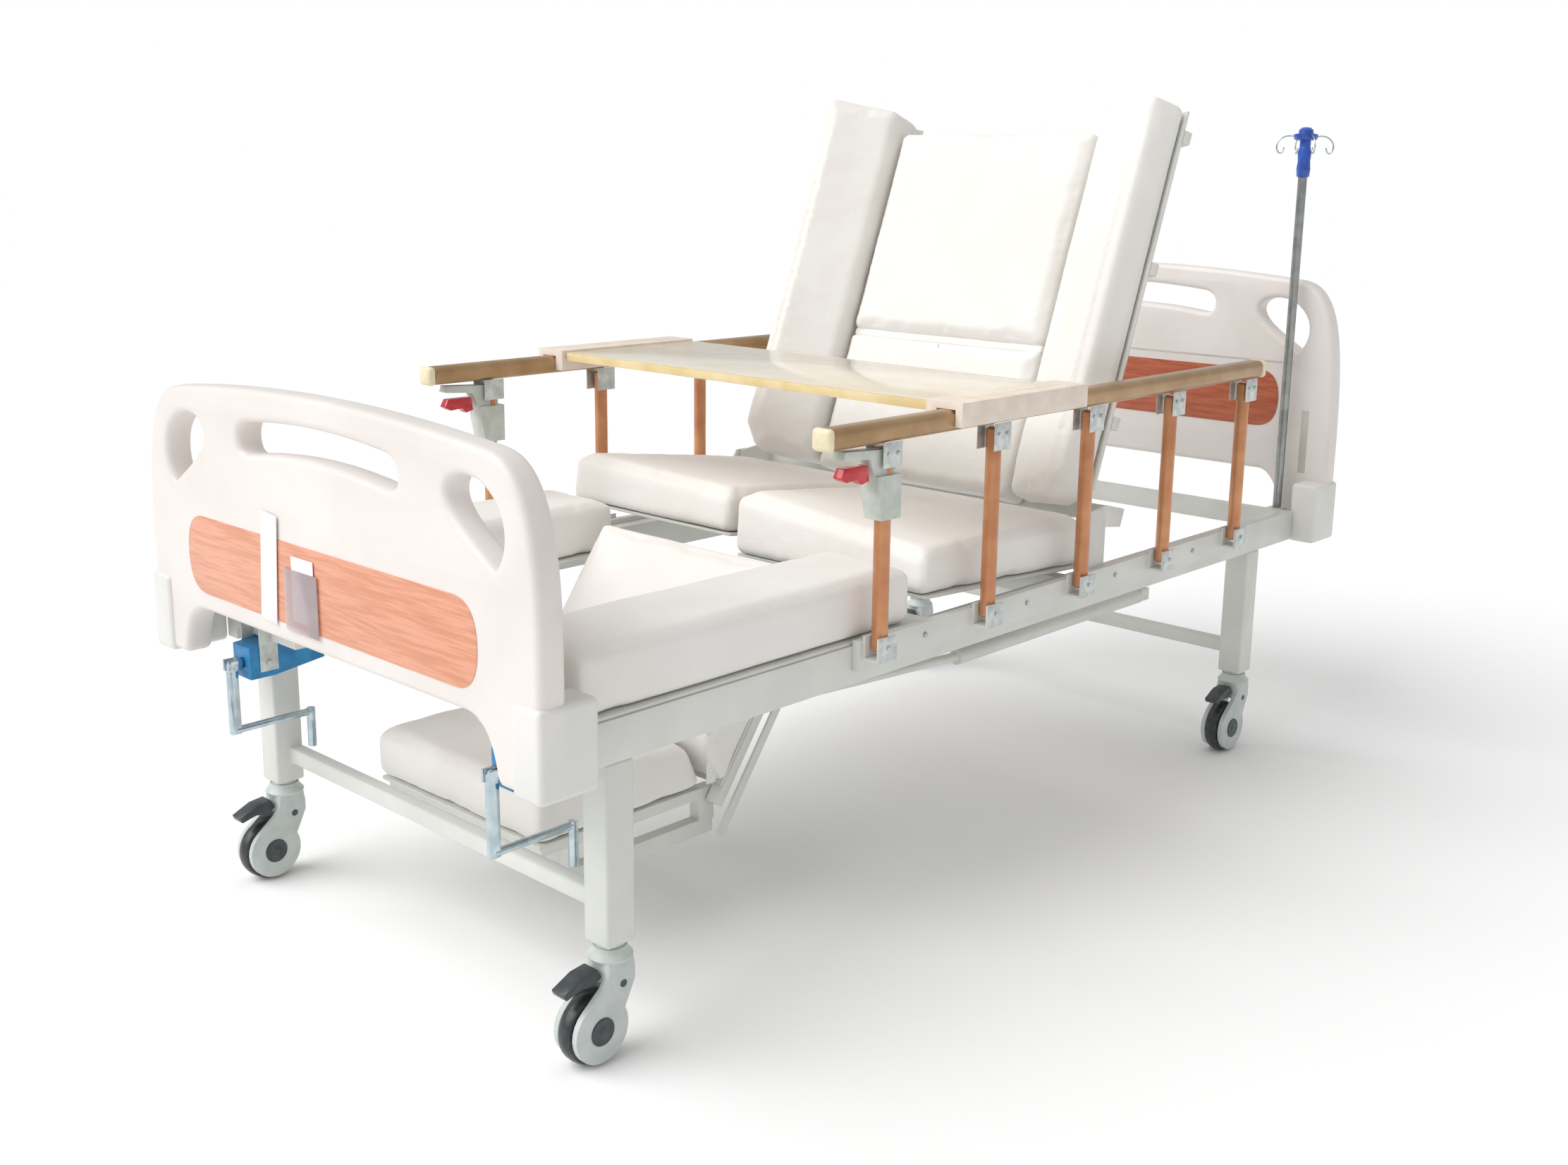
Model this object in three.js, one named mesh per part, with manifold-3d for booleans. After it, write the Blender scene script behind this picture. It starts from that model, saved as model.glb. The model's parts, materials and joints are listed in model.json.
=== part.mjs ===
// Adjustable nursing bed: a steel bed frame on four swivelling, braked castors, with a raised
// backrest and its two turning wings, two seat halves, a dropped calf section with a level
// footrest between two leg strips, folding side rails, a tray, two cranks and a drip pole.
// Millimetres. +X is the patient's left, +Y runs from the foot to the head, +Z is up, and the
// origin is on the floor under the middle of the bed.
import * as THREE from "three";
import { mergeVertices } from "three/addons/utils/BufferGeometryUtils.js";
import Module from "manifold-3d";

const wasm = await Module();
wasm.setup();

// ---- driving dimensions -------------------------------------------------------------------

const SIDES = { left: 1, right: -1 };

const FRAME = { halfWidth: 450, halfLength: 985, railWide: 30, railLow: 430, railTop: 490 };
const CROSS = { low: 450, deep: 30 };
const CROSS_Y = { foot: -972.5, seatFront: -255, seatRear: 150, head: 972.5 };
const LEG = { side: 50, low: 167, footY: -914, headY: 822, barLow: 200, barHigh: 28 };
const BOARD = { thick: 45, halfWidth: 495, footFace: -1080, headFace: 1080, edge: 6 };
const BLOCK = { inner: 441, outer: 500, low: 425, high: 550, face: 1085, rear: 988 };

const TOP = 585; // level of the flat mattress
const PAD = 81; // thickness of a mattress section
const PIVOT = { y: 217, z: TOP }; // the fold between seat and backrest
const BACK_ANGLE = 69.5;
const BACK = { seam: 303, padEnd: 735, wingStart: 13, wingEnd: 776, halfWidth: 240 };
const WING = { hingeX: 243, outer: 452, mitre: 34, tilt: { left: 25, right: 34 } };
const SEAT = { front: -262, rear: 210, outer: 438, tilt: { left: 3, right: 7 } };
const STRIP = { inner: 262, outer: 447, foot: -983, head: -300, low: 496 };

const CALF = { y: -292, z: 494, drop: 54.6, length: 367, halfPad: 240 };
const FOOT = { halfPad: 215, padLow: 24, padHigh: 100, padFront: -363, padRear: -55 };
const LINK_SHIFT = { y: -4, z: -50 };

const RAIL = { x: 480, postY0: -422, pitch: 272.5, posts: 5, footZ: 492, headZ: 790, postR: 11 };
const GRIP = { y0: -555, y1: 715, low: 805, high: 838, halfWide: 18 };
const TABLE = { y0: -265, y1: 60, low: 832, high: 845, saddleOut: 512, saddleTop: 850 };

const CASTER = { wheelR: 52, wheelWide: 26, trail: 35, cheek: 9, gap: 2 };
const CRANK = { x: 340, y: -1040, z: 415, drop: 115, reach: 135, grip: 54, r: 8 };
const POLE = { x: 400, y: 1012, r: 9, low: 440, high: 1193, hookZ: 1262 };

const rad = THREE.MathUtils.degToRad;

// ---- materials ----------------------------------------------------------------------------

function finish(color, roughness, metalness) {
  return new THREE.MeshStandardMaterial({ color, roughness, metalness });
}

const powderCoat = finish(0xd5d2ce, 0.45, 0.2);
const boardPlastic = finish(0xe6e2e0, 0.4, 0);
const coverFabric = finish(0xeae8e6, 0.85, 0);
const bronzeTube = finish(0xa98a68, 0.4, 0.5);
const copperPost = finish(0xc48a5e, 0.4, 0.5);
const latchPaint = finish(0xbfc6be, 0.4, 0.3);
const redPlastic = finish(0xc41e2a, 0.3, 0);
const bluePlastic = finish(0x1f7fb5, 0.35, 0);
const chromeSteel = finish(0xc8ccd0, 0.15, 1);
const castorShell = finish(0xb9c6c2, 0.4, 0);
const tyreRubber = finish(0x35393b, 0.6, 0);
const pedalPlastic = finish(0x4a4f51, 0.4, 0);
const trayPlastic = finish(0xe5dcc8, 0.3, 0);

// ---- solids -------------------------------------------------------------------------------

function solid(geometry) {
  const bare = new THREE.BufferGeometry();
  const flat = geometry.index ? geometry.toNonIndexed() : geometry;
  bare.setAttribute("position", flat.getAttribute("position"));
  const merged = mergeVertices(bare, 1e-3);
  const vertProperties = merged.attributes.position.array;
  const triVerts = new Uint32Array(merged.index.array);
  return new wasm.Manifold(new wasm.Mesh({ numProp: 3, vertProperties, triVerts }));
}

function join(pieces) {
  return pieces.reduce((sum, piece) => sum.add(piece));
}

function geometryOf(body) {
  const mesh = body.getMesh();
  const geometry = new THREE.BufferGeometry();
  geometry.setAttribute("position", new THREE.BufferAttribute(mesh.vertProperties, 3));
  geometry.setIndex(new THREE.BufferAttribute(mesh.triVerts, 1));
  geometry.computeVertexNormals();
  return geometry;
}

// A box between two corners.
function block([x0, x1], [y0, y1], [z0, z1]) {
  const box = new THREE.BoxGeometry(Math.abs(x1 - x0), Math.abs(y1 - y0), Math.abs(z1 - z0));
  box.translate((x0 + x1) / 2, (y0 + y1) / 2, (z0 + z1) / 2);
  return solid(box);
}

// A round bar between two points.
function bar(from, to, radius, sides = 12) {
  const a = new THREE.Vector3(...from);
  const b = new THREE.Vector3(...to);
  const along = b.clone().sub(a);
  const rod = new THREE.CylinderGeometry(radius, radius, along.length(), sides);
  const turn = new THREE.Quaternion().setFromUnitVectors(
    new THREE.Vector3(0, 1, 0), along.clone().normalize());
  rod.applyQuaternion(turn);
  const middle = a.add(b).multiplyScalar(0.5);
  rod.translate(middle.x, middle.y, middle.z);
  return solid(rod);
}

// An outline in the Y-Z plane, given as [y, z] points, drawn out along X.
function plateX(points, [x0, x1]) {
  const shape = new THREE.Shape(points.map(([y, z]) => new THREE.Vector2(y, z)));
  const plate = new THREE.ExtrudeGeometry(shape, { depth: x1 - x0, bevelEnabled: false });
  const axes = new THREE.Matrix4().makeBasis(
    new THREE.Vector3(0, 1, 0), new THREE.Vector3(0, 0, 1), new THREE.Vector3(1, 0, 0));
  plate.applyMatrix4(axes);
  plate.translate(x0, 0, 0);
  return solid(plate);
}

// An outline in the X-Z plane drawn out along Y.
function plateY(shape, [y0, y1], curveSegments = 10, edge = 0) {
  const bevel = { bevelEnabled: edge > 0, bevelSize: edge, bevelThickness: edge };
  const options = { depth: y1 - y0 - 2 * edge, curveSegments, bevelSegments: 1, ...bevel };
  const plate = new THREE.ExtrudeGeometry(shape, { ...options, bevelOffset: -edge });
  plate.rotateX(Math.PI / 2);
  plate.translate(0, y1 - edge, 0);
  return solid(plate);
}

// A plate with its outline in X and Y, from z0 to z1.
function prismZ(points, [z0, z1]) {
  const shape = new THREE.Shape(points.map(([x, y]) => new THREE.Vector2(x, y)));
  const prism = new THREE.ExtrudeGeometry(shape, { depth: z1 - z0, bevelEnabled: false });
  prism.translate(0, 0, z0);
  return solid(prism);
}

// A cushion between eight corners: its outline seen from above, and a height for each corner.
function cushion(corners, low) {
  const box = new THREE.BoxGeometry(1, 1, 1);
  const place = box.attributes.position;
  for (let i = 0; i < place.count; i++) {
    const right = place.getX(i) > 0;
    const head = place.getY(i) > 0;
    const corner = corners[(head ? 2 : 0) + (right ? 1 : 0)];
    const upper = place.getZ(i) > 0;
    place.setXYZ(i, corner.x, upper ? corner.y : corner.yLow ?? corner.y, upper ? corner.z : low);
  }
  return solid(box);
}

// ---- scene graph --------------------------------------------------------------------------

const bed = new THREE.Group();
bed.name = "adjustable_hospital_bed";

function add(parent, name, body, material) {
  const mesh = new THREE.Mesh(geometryOf(body), material);
  mesh.name = name;
  parent.add(mesh);
}

function jointGroup(parent, x, y, z, angleX = 0) {
  const group = new THREE.Group();
  group.position.set(x, y, z);
  group.rotation.x = angleX;
  parent.add(group);
  return group;
}

// Mirrors a span of X values to the side it belongs to.
function span(side, near, far) {
  return side > 0 ? [near, far] : [-far, -near];
}

// ---- welded frame and legs ----------------------------------------------------------------

// The foot cross tube is two stubs, which leave the footrest room to swing up.
function mainFrame() {
  const pieces = [];
  const inner = FRAME.halfWidth - FRAME.railWide;
  const run = [-FRAME.halfLength, FRAME.halfLength];
  for (const side of Object.values(SIDES)) {
    pieces.push(block(span(side, inner, FRAME.halfWidth), run, [FRAME.railLow, FRAME.railTop]));
  }
  for (const [name, y] of Object.entries(CROSS_Y)) {
    const half = name === "foot" || name === "head" ? 12.5 : CROSS.deep / 2;
    const spans = name === "foot" ? [[238, inner + 5], [-inner - 5, -238]] : [[-inner - 5, inner + 5]];
    for (const x of spans) {
      pieces.push(block(x, [y - half, y + half], [CROSS.low, FRAME.railTop]));
    }
  }
  for (const side of Object.values(SIDES)) {
    pieces.push(hingePlate(side), calfLug(side), linkLug(side));
  }
  pieces.push(poleSocket());
  return join(pieces).subtract(poleBore());
}

// Plate on top of each rail that carries the fold between seat and backrest.
function hingePlate(side) {
  const { y, z } = PIVOT;
  const low = FRAME.railTop - 6;
  const points = [[y - 27, low], [y + 27, low], [y + 27, z], [y + 16, z + 18], [y - 16, z + 18],
    [y - 27, z]];
  return plateX(points, span(side, 446.2, 449.7));
}

// Lug on the cross tube that holds the calf section's hinge pin.
function calfLug(side) {
  const y = [CALF.y - 9, CROSS_Y.seatFront];
  return block(span(side, 192, 198), y, [CROSS.low + 10, CALF.z + 7]);
}

// Lug for the upper end of the footrest's parallel link.
function linkLug(side) {
  const y = CALF.y + LINK_SHIFT.y - 9;
  return block(span(side, 234, 240), [y, CROSS_Y.seatFront], [CALF.z + LINK_SHIFT.z - 9, 480]);
}

function poleSocket() {
  return block([POLE.x - 16, POLE.x + 16], [CROSS_Y.head, POLE.y + 14], [455, 488]);
}

function poleBore() {
  return bar([POLE.x, POLE.y, 400], [POLE.x, POLE.y, 520], POLE.r + 0.6, 16);
}

// A pair of square legs with the bar that joins them.
function legPair(y) {
  const half = LEG.side / 2;
  const depth = [y - half, y + half];
  const inner = FRAME.halfWidth - LEG.side;
  const top = FRAME.railLow - 0.4;
  const legs = Object.values(SIDES).map((side) =>
    block(span(side, inner, FRAME.halfWidth), depth, [LEG.low, top]));
  const brace = block([-inner - 4, inner + 4], [y, y + half], [LEG.barLow, LEG.barLow + LEG.barHigh]);
  return join([...legs, brace]);
}

add(bed, "main_frame", mainFrame(), powderCoat);
add(bed, "foot_legs", legPair(LEG.footY), powderCoat);
add(bed, "head_legs", legPair(LEG.headY), powderCoat);

// ---- foot and head boards -----------------------------------------------------------------

// Outline of a moulded board, seen from the front; rise lifts everything above the arch.
function boardOutline(rise, archZ) {
  const w = BOARD.halfWidth;
  const shape = new THREE.Shape();
  shape.moveTo(0, archZ);
  shape.lineTo(335, archZ);
  shape.bezierCurveTo(372, archZ, 392, 490, 402, 440);
  shape.quadraticCurveTo(406, 428, 418, 428);
  shape.lineTo(w - 8, 428);
  shape.lineTo(w, 438);
  shape.lineTo(w, 640);
  shape.bezierCurveTo(w - 2, 740 + rise, 478, 850 + rise, 396, 859 + rise);
  shape.quadraticCurveTo(200, 879 + rise, 0, 879 + rise);
  shape.quadraticCurveTo(-200, 879 + rise, -396, 859 + rise);
  shape.bezierCurveTo(-478, 850 + rise, -w + 2, 740 + rise, -w, 640);
  shape.lineTo(-w, 438);
  shape.lineTo(-w + 8, 428);
  shape.lineTo(-418, 428);
  shape.quadraticCurveTo(-406, 428, -402, 440);
  shape.bezierCurveTo(-392, 490, -372, archZ, -335, archZ);
  shape.closePath();
  return shape;
}

// Long grip slot under the crown.
function gripSlot(rise) {
  const hole = new THREE.Path();
  hole.moveTo(-178, 778 + rise);
  hole.quadraticCurveTo(0, 802 + rise, 178, 778 + rise);
  hole.quadraticCurveTo(206, 776 + rise, 204, 802 + rise);
  hole.quadraticCurveTo(202, 822 + rise, 176, 826 + rise);
  hole.quadraticCurveTo(0, 846 + rise, -176, 826 + rise);
  hole.quadraticCurveTo(-202, 822 + rise, -204, 802 + rise);
  hole.quadraticCurveTo(-206, 776 + rise, -178, 778 + rise);
  return hole;
}

// Pear-shaped hand hole in an upper corner.
function handHole(side, rise) {
  const hole = new THREE.Path();
  hole.moveTo(side * 408, 709 + rise);
  hole.bezierCurveTo(side * 436, 735 + rise, side * 440, 790 + rise, side * 382, 816 + rise);
  hole.bezierCurveTo(side * 340, 828 + rise, side * 306, 812 + rise, side * 312, 788 + rise);
  hole.bezierCurveTo(side * 320, 760 + rise, side * 372, 735 + rise, side * 408, 709 + rise);
  return hole;
}

// The mould clamp at each lower corner of a board.
function cornerBlock(side, towards) {
  const near = towards * BLOCK.rear;
  const face = towards * BLOCK.face;
  const y = near < face ? [near, face] : [face, near];
  return block(span(side, BLOCK.inner, BLOCK.outer), y, [BLOCK.low, BLOCK.high]);
}

function board(towards, rise, archZ) {
  const outline = boardOutline(rise, archZ);
  outline.holes.push(gripSlot(rise), handHole(1, rise), handHole(-1, rise));
  const face = towards * BOARD.headFace;
  const back = face - towards * BOARD.thick;
  const slab = plateY(outline, face < back ? [face, back] : [back, face], 8, BOARD.edge);
  return join([slab, cornerBlock(1, towards), cornerBlock(-1, towards)]);
}

add(bed, "footboard", board(-1, 0, 512), boardPlastic);
add(bed, "headboard", board(1, 115, 562), boardPlastic);

// ---- castors ------------------------------------------------------------------------------

// Side view of a castor's shell about the swivel axis: a round cheek under a sloping neck.
function cheekOutline() {
  const points = [[24, 112], [24, 130], [21, 144], [-21, 144], [-24, 126], [-34, 112]];
  for (let turn = 128; turn <= 388; turn += 13) {
    points.push([-CASTER.trail + 46 * Math.cos(rad(turn)), CASTER.wheelR + 46 * Math.sin(rad(turn))]);
  }
  return points;
}

function casterHood() {
  const half = CASTER.wheelWide / 2 + CASTER.gap;
  const outer = half + CASTER.cheek;
  const outline = cheekOutline();
  const cheeks = [plateX(outline, [half, outer]), plateX(outline, [-outer, -half])];
  const bridge = block([-half - 2, half + 2], [-20, 20], [118, 144]);
  const stem = bar([0, 0, 140], [0, 0, LEG.low - 0.4], 21, 20);
  const axle = bar([-half - 4, -CASTER.trail, CASTER.wheelR], [half + 4, -CASTER.trail, CASTER.wheelR], 5);
  return join([...cheeks, bridge, stem, axle]);
}

function casterWheel() {
  const half = CASTER.wheelWide / 2;
  const r = CASTER.wheelR;
  const profile = [[5.4, -half], [r - 6, -half], [r, -half + 6], [r, half - 6], [r - 6, half],
    [5.4, half], [5.4, -half]].map(([radius, along]) => new THREE.Vector2(radius, along));
  const wheel = new THREE.LatheGeometry(profile, 32);
  wheel.rotateZ(Math.PI / 2);
  wheel.translate(0, -CASTER.trail, r);
  return solid(wheel);
}

function casterPedal() {
  const half = CASTER.wheelWide / 2 + CASTER.gap - 0.6;
  const points = [[-46, 117], [-26, 125], [-34, 140], [-60, 137], [-92, 122], [-88, 113], [-62, 120]];
  return plateX(points, [-half, half]);
}

const CORNERS = { foot_left: [1, LEG.footY], foot_right: [-1, LEG.footY],
  head_left: [1, LEG.headY], head_right: [-1, LEG.headY] };
for (const [corner, [side, y]] of Object.entries(CORNERS)) {
  const group = jointGroup(bed, side * (FRAME.halfWidth - LEG.side / 2), y, 0);
  add(group, `caster_hood_${corner}`, casterHood(), castorShell);
  add(group, `caster_wheel_${corner}`, casterWheel(), tyreRubber);
  add(group, `brake_pedal_${corner}`, casterPedal(), pedalPlastic);
}

// ---- folding side rails -------------------------------------------------------------------

function postPlaces() {
  return Array.from({ length: RAIL.posts }, (_, i) => RAIL.postY0 + i * RAIL.pitch);
}

// Two cheeks either side of a post, joined by a web, at the given heights.
function clevis(y, [z0, z1], web) {
  const long = [y - 20, y + 20];
  return join([block([RAIL.x - 16, RAIL.x - 11.8], long, [z0, z1]),
    block([RAIL.x + 11.8, RAIL.x + 16], long, [z0, z1]),
    block([RAIL.x - 16, RAIL.x + 16], long, web)]);
}

function handrail() {
  const { y0, y1, low, high, halfWide } = GRIP;
  const round = 9;
  const section = new THREE.Shape();
  section.moveTo(RAIL.x - halfWide + round, low);
  section.lineTo(RAIL.x + halfWide - round, low);
  section.quadraticCurveTo(RAIL.x + halfWide, low, RAIL.x + halfWide, low + round);
  section.lineTo(RAIL.x + halfWide, high - round);
  section.quadraticCurveTo(RAIL.x + halfWide, high, RAIL.x + halfWide - round, high);
  section.lineTo(RAIL.x - halfWide + round, high);
  section.quadraticCurveTo(RAIL.x - halfWide, high, RAIL.x - halfWide, high - round);
  section.lineTo(RAIL.x - halfWide, low + round);
  section.quadraticCurveTo(RAIL.x - halfWide, low, RAIL.x - halfWide + round, low);
  const brackets = postPlaces().map((y) => clevis(y, [766, low + 2], [low - 0.1, low + 2]));
  return join([plateY(section, [y0, y1], 3), ...brackets]);
}

// Aluminium rail bolted along the bed frame, with a clevis at the foot of each post.
function baseRail() {
  const strip = block([FRAME.halfWidth + 0.4, 465], [RAIL.postY0 - 28, 706], [452, 500]);
  const feet = postPlaces().map((y) => clevis(y, [470, 508], [470, 474]));
  return join([strip, ...feet]);
}

function post(y) {
  return bar([RAIL.x, y, RAIL.footZ - 7], [RAIL.x, y, RAIL.headZ + 7], RAIL.postR, 16);
}

// Cast latch on the first post, with the arm that the release trigger hangs under.
function latch() {
  const y = RAIL.postY0;
  const web = 11.2;
  const arm = plateX([[y + 12, 750], [y + 12, 794], [y - 100, 801], [y - 103, 789], [y - 45, 784],
    [y - 30, 750]], [RAIL.x - web, RAIL.x + web]);
  const sleeve = plateX([[y + 22, 690], [y + 22, 757], [y - 32, 757], [y - 32, 740], [y - 22, 690]],
    [RAIL.x - 17, RAIL.x + 17]);
  const bore = bar([RAIL.x, y, 600], [RAIL.x, y, 900], RAIL.postR + 0.4, 16);
  return join([arm, sleeve]).subtract(bore);
}

function trigger() {
  const y = RAIL.postY0;
  const points = [[y - 104, 762], [y - 96, 776], [y - 46, 776], [y - 42, 752], [y - 58, 748],
    [y - 66, 757], [y - 92, 755]];
  return plateX(points, [RAIL.x - 9, RAIL.x + 9]);
}

function mirrored(body, side) {
  return side > 0 ? body : body.mirror([1, 0, 0]);
}

for (const [name, side] of Object.entries(SIDES)) {
  add(bed, `rail_base_${name}`, mirrored(baseRail(), side), powderCoat);
  add(bed, `handrail_${name}`, mirrored(handrail(), side), bronzeTube);
  postPlaces().forEach((y, i) => {
    add(bed, `rail_post_${name}_${i + 1}`, mirrored(post(y), side), copperPost);
  });
  add(bed, `rail_latch_${name}`, mirrored(latch(), side), latchPaint);
  add(bed, `release_trigger_${name}`, mirrored(trigger(), side), redPlastic);
}

// ---- overbed tray -------------------------------------------------------------------------

function tray() {
  const { y0, y1, low, high, saddleOut, saddleTop } = TABLE;
  const inner = RAIL.x - GRIP.halfWide;
  const parts = [block([-inner, inner], [y0, y1], [low, high])];
  for (const side of Object.values(SIDES)) {
    const saddle = block(span(side, inner - 20, saddleOut), [y0 - 12, y1 + 6], [812, saddleTop]);
    const rail = block(span(side, inner - 0.5, RAIL.x + GRIP.halfWide + 0.5),
      [y0 - 40, y1 + 40], [780, GRIP.high + 0.4]);
    parts.push(saddle.subtract(rail));
  }
  return join(parts);
}

add(bed, "overbed_tray", tray(), trayPlastic);

// ---- backrest -----------------------------------------------------------------------------

// Everything here is drawn lying flat, with Y along the backrest from the fold and Z towards
// the patient, and the group is then turned up about the fold.
const backrest = jointGroup(bed, 0, PIVOT.y, PIVOT.z, rad(BACK_ANGLE));
const PLATE = 6;

function backFrame() {
  const top = -PAD - 0.6;
  const low = top - PLATE;
  const half = BACK.halfWidth - 4;
  const pieces = [block([-half, half], [12, BACK.padEnd - 6], [low, top])];
  pieces.push(block([-442, 442], [8, 40], [low, top]));
  for (const x of [-190, 190]) {
    pieces.push(block([x - 12, x + 12], [46, BACK.padEnd - 16], [low - 20, low + 1]));
  }
  for (const y of [150, 430, 680]) {
    pieces.push(block([-180, 180], [y - 10, y + 10], [low - 16, low + 1]));
  }
  for (const side of Object.values(SIDES)) {
    const arm = [[6, low], [40, low], [34, -30], [14, 10], [-10, 10], [-10, -14]];
    pieces.push(plateX(arm, span(side, 440.6, 445.4)));
  }
  return join(pieces);
}

// Turned-in side wing: its inner face is mitred, so that it closes on the middle pad.
function wingPad(side) {
  const low = 3.6;
  const high = PAD + 3;
  const lean = Math.tan(rad(WING.mitre));
  const near = (z) => side * (2 + z * lean);
  const far = side * (WING.outer - WING.hingeX);
  const outline = new THREE.Shape([[near(low), low], [far, low], [far, high], [near(high), high]]
    .map(([x, z]) => new THREE.Vector2(x, z)));
  const corner = prismZ([[172, 8], [214, 8], [214, 62], [195, 46]].map(([x, y]) => [side * x, y]), [-2, high + 2]);
  return plateY(outline, [BACK.wingStart, BACK.wingEnd]).subtract(corner);
}

add(backrest, "back_frame", backFrame(), powderCoat);
add(backrest, "back_pad",
  block([-BACK.halfWidth, BACK.halfWidth], [BACK.seam + 3, BACK.padEnd], [-PAD, 0]), coverFabric);
add(backrest, "lumbar_pad",
  block([-BACK.halfWidth, BACK.halfWidth], [9, BACK.seam - 3], [-PAD, 0]), coverFabric);
for (const [name, side] of Object.entries(SIDES)) {
  const wing = jointGroup(backrest, side * WING.hingeX, 0, -PAD - 3);
  wing.rotation.y = -side * rad(WING.tilt[name]);
  add(wing, `wing_pad_${name}`, wingPad(side), coverFabric);
}

// ---- seat halves and leg strips -----------------------------------------------------------

// Heights are for the seat lying flat; each half is then tilted about the fold.
const SEAT_HEIGHTS = {
  left: { frontInner: 611, frontOuter: 572, rear: 584 },
  right: { frontInner: 576, frontOuter: 590, rear: 584 },
};

function seatPad(name, side) {
  const height = SEAT_HEIGHTS[name];
  const front = SEAT.front - PIVOT.y;
  const rear = SEAT.rear - PIVOT.y;
  const inner = { x: side * 4, y: front, yLow: front - 2, z: height.frontInner - TOP };
  const outer = { x: side * SEAT.outer, y: front, yLow: front - 2, z: height.frontOuter - TOP };
  const innerRear = { x: side * 4, y: rear, z: height.rear - TOP };
  const outerRear = { x: side * SEAT.outer, y: rear, z: height.rear - TOP };
  const corners = side > 0 ? [inner, outer, innerRear, outerRear]
    : [outer, inner, outerRear, innerRear];
  return cushion(corners, -PAD);
}

for (const [name, side] of Object.entries(SIDES)) {
  const half = jointGroup(bed, 0, PIVOT.y, PIVOT.z, -rad(SEAT.tilt[name]));
  add(half, `seat_pad_${name}`, seatPad(name, side), coverFabric);
  add(bed, `leg_strip_pad_${name}`,
    block(span(side, STRIP.inner, STRIP.outer), [STRIP.foot, STRIP.head], [STRIP.low, TOP]),
    coverFabric);
}

// ---- calf section and footrest ------------------------------------------------------------

// Drawn level, with Y from the hinge (towards the foot is negative), then dropped.
const calf = jointGroup(bed, 0, CALF.y, CALF.z, rad(CALF.drop));

function calfFrame() {
  const deck = block([-222, 222], [-346, -12], [8, 13.5]);
  const pieces = [deck];
  for (const side of Object.values(SIDES)) {
    const edge = [[6, -9], [6, 9], [-CALF.length - 9, 9], [-CALF.length - 9, -9]];
    pieces.push(plateX(edge, span(side, 200, 224)));
  }
  for (const y of [-90, -250]) {
    pieces.push(block([-205, 205], [y - 12, y + 12], [-9, 9]));
  }
  return join(pieces);
}

function calfPad() {
  const outline = [[-4, 14], [24, 96], [-310, 96], [-350, 14]];
  return plateX(outline, [-CALF.halfPad, CALF.halfPad]);
}

add(calf, "calf_frame", calfFrame(), powderCoat);
add(calf, "calf_pad", calfPad(), coverFabric);

const dropped = rad(CALF.drop);
const footHinge = {
  y: CALF.y - CALF.length * Math.cos(dropped),
  z: CALF.z - CALF.length * Math.sin(dropped),
};
const footrest = jointGroup(bed, 0, footHinge.y, footHinge.z);

function footrestFrame() {
  const pieces = [block([-205, 205], [-355, -26], [16, 22])];
  for (const side of Object.values(SIDES)) {
    const x = span(side, 176, 198);
    pieces.push(block(x, [-346, 9], [0, 17]));
    pieces.push(block(x, [-296, 6], [-62, -36]));
    pieces.push(block(x, [-296, -276], [-40, 4]));
    pieces.push(block(x, [-24, 9], [-40, 4]));
  }
  pieces.push(block([-180, 180], [-346, -326], [0, 17]));
  return join(pieces);
}

function footPad() {
  const { halfPad, padLow, padHigh, padFront, padRear } = FOOT;
  const outline = [[padFront, padLow], [padRear + 33, padLow], [padRear, padHigh],
    [padFront, padHigh]];
  return plateX(outline, [-halfPad, halfPad]);
}

// Flat bar that runs beside the calf frame and keeps the footrest level.
function footrestLink() {
  const half = 8;
  const run = [[half, -half], [half, half], [-CALF.length - half, half],
    [-CALF.length - half, -half]];
  return plateX(run, [227, 232]);
}

add(footrest, "footrest_frame", footrestFrame(), powderCoat);
add(footrest, "foot_pad", footPad(), coverFabric);
const link = jointGroup(bed, 0, CALF.y + LINK_SHIFT.y, CALF.z + LINK_SHIFT.z, dropped);
add(link, "footrest_link", footrestLink(), powderCoat);

// ---- cranks and lift drive ----------------------------------------------------------------

function crankHousing(side) {
  const x = side * CRANK.x;
  const { y, z } = CRANK;
  const side1 = [[y + 18, z - 24], [y + 18, z + 28], [y + 70, z + 34], [y + 150, z + 16],
    [y + 150, z - 12], [y + 60, z - 24]];
  const shell = plateX(side1, [x - 26, x + 26]);
  const bore = bar([x, y - 20, z], [x, y + 132, z], CRANK.r + 0.6, 16);
  return shell.subtract(bore);
}

function crankShaft(side) {
  const x = side * CRANK.x;
  const { y, z, r } = CRANK;
  const shaft = bar([x, y + 10, z], [x, y + 128, z], r, 16);
  const ears = [-1, 1].map((way) =>
    block([x + way * 7.5 - 2, x + way * 7.5 + 2], [y - 10, y + 13], [z - 9, z + 9]));
  return join([shaft, ...ears, block([x - 9, x + 9], [y + 10, y + 14], [z - 9, z + 9])]);
}

// Folding crank, hanging from the shaft: a flat arm, a cross rod and the end to grip.
function crankArm(side) {
  const x = side * CRANK.x;
  const { y, z, drop, reach, grip } = CRANK;
  const low = z - drop;
  const eye = bar([x - 5, y, z], [x + 5, y, z], 8);
  const arm = block([x - 5, x + 5], [y - 8, y + 8], [low, z]);
  const rod = bar([x, y, low + 6], [x, y + reach, low + 6], 6);
  const handle = bar([x, y + reach, low + 12], [x, y + reach, low - grip], 7);
  return join([eye, arm, rod, handle]);
}

for (const [name, side] of Object.entries(SIDES)) {
  add(bed, `crank_housing_${name}`, crankHousing(side), bluePlastic);
  add(bed, `crank_shaft_${name}`, crankShaft(side), chromeSteel);
  add(bed, `crank_arm_${name}`, crankArm(side), chromeSteel);
}

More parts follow.
